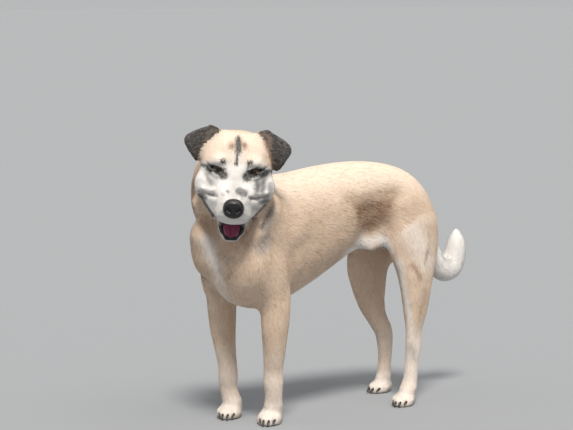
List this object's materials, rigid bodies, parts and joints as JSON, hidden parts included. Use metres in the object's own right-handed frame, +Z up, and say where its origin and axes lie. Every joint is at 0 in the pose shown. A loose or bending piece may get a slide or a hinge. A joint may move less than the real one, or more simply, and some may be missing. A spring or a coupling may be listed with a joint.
{
  "type": "dog",
  "caption": "Life-size standing dog, medium-large and short-coated, head turned to its left, mouth open, tail hanging in an upturned hook.",
  "frame": {"origin": "centre of the whole dog's box, on the floor that the four soles stand on", "axes": "+Z up; -Y the way the trunk faces, so +Y runs along the back to the tail; +X to the dog's own left"},
  "size_m": [0.2848, 0.8212, 0.6728],
  "materials": {
    "coat": "short fawn and cream coat, matt",
    "ear_coat": "short near-black coat with a tan inner edge",
    "nose_leather": "moist black leather",
    "tongue_pink": "moist pink",
    "eye_amber": "wet amber-brown",
    "claw_horn": "dark horn"
  },
  "bodies": {
    "root": {"claw_fore_left_1": "claw_horn", "claw_fore_left_2": "claw_horn", "claw_fore_left_3": "claw_horn", "claw_fore_left_4": "claw_horn", "claw_fore_right_1": "claw_horn", "claw_fore_right_2": "claw_horn", "claw_fore_right_3": "claw_horn", "claw_fore_right_4": "claw_horn", "claw_hind_left_1": "claw_horn", "claw_hind_left_2": "claw_horn", "claw_hind_left_3": "claw_horn", "claw_hind_left_4": "claw_horn", "claw_hind_right_1": "claw_horn", "claw_hind_right_2": "claw_horn", "claw_hind_right_3": "claw_horn", "claw_hind_right_4": "claw_horn", "ear_left": "ear_coat", "ear_right": "ear_coat", "eye_left": "eye_amber", "eye_right": "eye_amber", "foreleg_left": "coat", "foreleg_right": "coat", "forepaw_left": "coat", "forepaw_right": "coat", "head": "coat", "hindleg_left": "coat", "hindleg_right": "coat", "hindpaw_left": "coat", "hindpaw_right": "coat", "lower_jaw": "coat", "neck": "coat", "nose": "nose_leather", "tail": "coat", "tongue": "tongue_pink", "trunk": "coat"}
  },
  "joints": []
}
